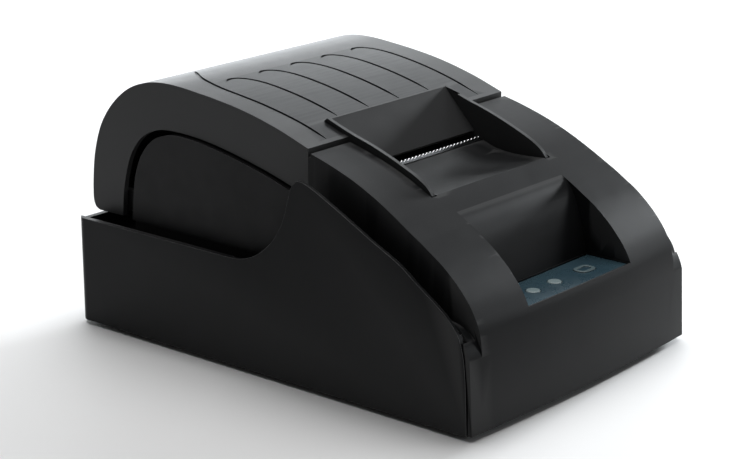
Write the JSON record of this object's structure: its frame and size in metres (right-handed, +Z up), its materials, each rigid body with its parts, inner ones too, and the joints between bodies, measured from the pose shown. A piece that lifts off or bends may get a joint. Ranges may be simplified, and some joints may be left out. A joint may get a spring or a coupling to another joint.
{
  "type": "receipt printer",
  "caption": "Desktop thermal receipt printer with a hinged curved paper cover, paper window with tear bar, and a recessed control panel with a feed button.",
  "frame": {"origin": "middle of the overall footprint, on the surface the rubber feet stand on", "axes": "+Z up, +X to the right as seen from the front, the front face with the control panel faces -Y"},
  "size_m": [0.13, 0.1916, 0.0975],
  "materials": {
    "black_abs": "fine satin moulded plastic",
    "lid_abs": "semi-gloss moulded plastic",
    "inner_abs": "matt moulded plastic",
    "roller_rubber": "ground rubber",
    "foot_rubber": "matt rubber",
    "steel": "plain steel",
    "bright_steel": "bright cut edge",
    "nylon": "natural nylon",
    "brass": "turned brass",
    "aluminium": "satin aluminium",
    "ceramic": "glazed ceramic",
    "sensor_black": "moulded plastic",
    "socket_black": "moulded plastic",
    "rocker_black": "polished moulded plastic",
    "panel_film": "printed film with a satin face",
    "lens_white": "milky clear plastic",
    "button_grey": "moulded plastic",
    "board_green": "solder-masked board",
    "ribbon_white": "flat ribbon cable",
    "ribbon_amber": "polyimide flexible circuit"
  },
  "bodies": {
    "base": {"lower_case": "black_abs", "front_cover": "black_abs", "paper_bin": "inner_abs", "rubber_foot_1": "foot_rubber", "rubber_foot_2": "foot_rubber", "rubber_foot_3": "foot_rubber", "rubber_foot_4": "foot_rubber", "hinge_pin_right": "steel", "hinge_pin_left": "steel", "head_spring_right": "steel", "head_spring_left": "steel", "idler_axle": "steel", "stepper_motor": "aluminium", "mechanism_frame": "inner_abs", "tear_bar": "bright_steel", "paper_sensor": "sensor_black", "control_film": "panel_film", "power_led_lens": "lens_white", "paper_led_lens": "lens_white", "feed_switch": "sensor_black", "panel_board": "board_green", "main_board": "board_green", "interface_board": "board_green", "power_socket": "socket_black", "data_socket": "steel", "drawer_socket": "socket_black", "switch_housing": "socket_black", "frame_screw_1": "steel", "frame_screw_2": "steel", "frame_screw_3": "steel", "frame_screw_4": "steel", "board_screw_1": "steel", "board_screw_2": "steel", "case_screw_1": "steel", "case_screw_2": "steel", "panel_ribbon": "ribbon_white", "head_ribbon": "ribbon_amber"},
    "lid": {"lid": "lid_abs", "roller_bracket": "inner_abs", "platen_bush_right": "nylon", "platen_bush_left": "nylon"},
    "platen": {"platen_rubber": "roller_rubber", "platen_shaft": "steel", "platen_gear": "nylon"},
    "idler": {"idler_gear": "nylon"},
    "pinion": {"motor_pinion": "brass"},
    "print_head": {"head_heat_sink": "aluminium", "print_head": "ceramic"},
    "feed_button": {"feed_button": "button_grey"},
    "rocker": {"power_rocker": "rocker_black"}
  },
  "joints": [
    {"name": "lid_hinge", "type": "hinge", "parent": "base", "child": "lid", "pos_m": [0, 0.086, 0.0485], "axis": [-1, 0, 0], "range_deg": [0, 72]},
    {"name": "platen_spin", "type": "hinge", "parent": "lid", "child": "platen", "pos_m": [0, -0.015, 0.0625], "axis": [1, 0, 0], "continuous": true},
    {"name": "idler_spin", "type": "hinge", "parent": "base", "child": "idler", "pos_m": [0.0313, -0.017, 0.04793], "axis": [1, 0, 0], "continuous": true},
    {"name": "pinion_spin", "type": "hinge", "parent": "base", "child": "pinion", "pos_m": [0.0313, -0.022, 0.0379], "axis": [1, 0, 0], "continuous": true},
    {"name": "head_tilt", "type": "hinge", "parent": "base", "child": "print_head", "pos_m": [0, -0.0246, 0.0525], "axis": [1, 0, 0], "range_deg": [0, 2], "stiffness_Nm_per_rad": 2, "springref_deg": -2.86},
    {"name": "feed_button_press", "type": "slide", "parent": "base", "child": "feed_button", "axis": [0, 0, -1], "range_m": [0, 0.0006], "stiffness_N_per_m": 500, "springref_m": -0.0012},
    {"name": "power_rocker_tilt", "type": "hinge", "parent": "base", "child": "rocker", "pos_m": [-0.04, 0.0894, 0.0185], "axis": [0, 0, 1], "range_deg": [-14, 0]}
  ],
  "couplings": [
    {"joint": "idler_spin", "follows": "platen_spin", "ratio": -1.1},
    {"joint": "pinion_spin", "follows": "platen_spin", "ratio": 1.8333}
  ]
}
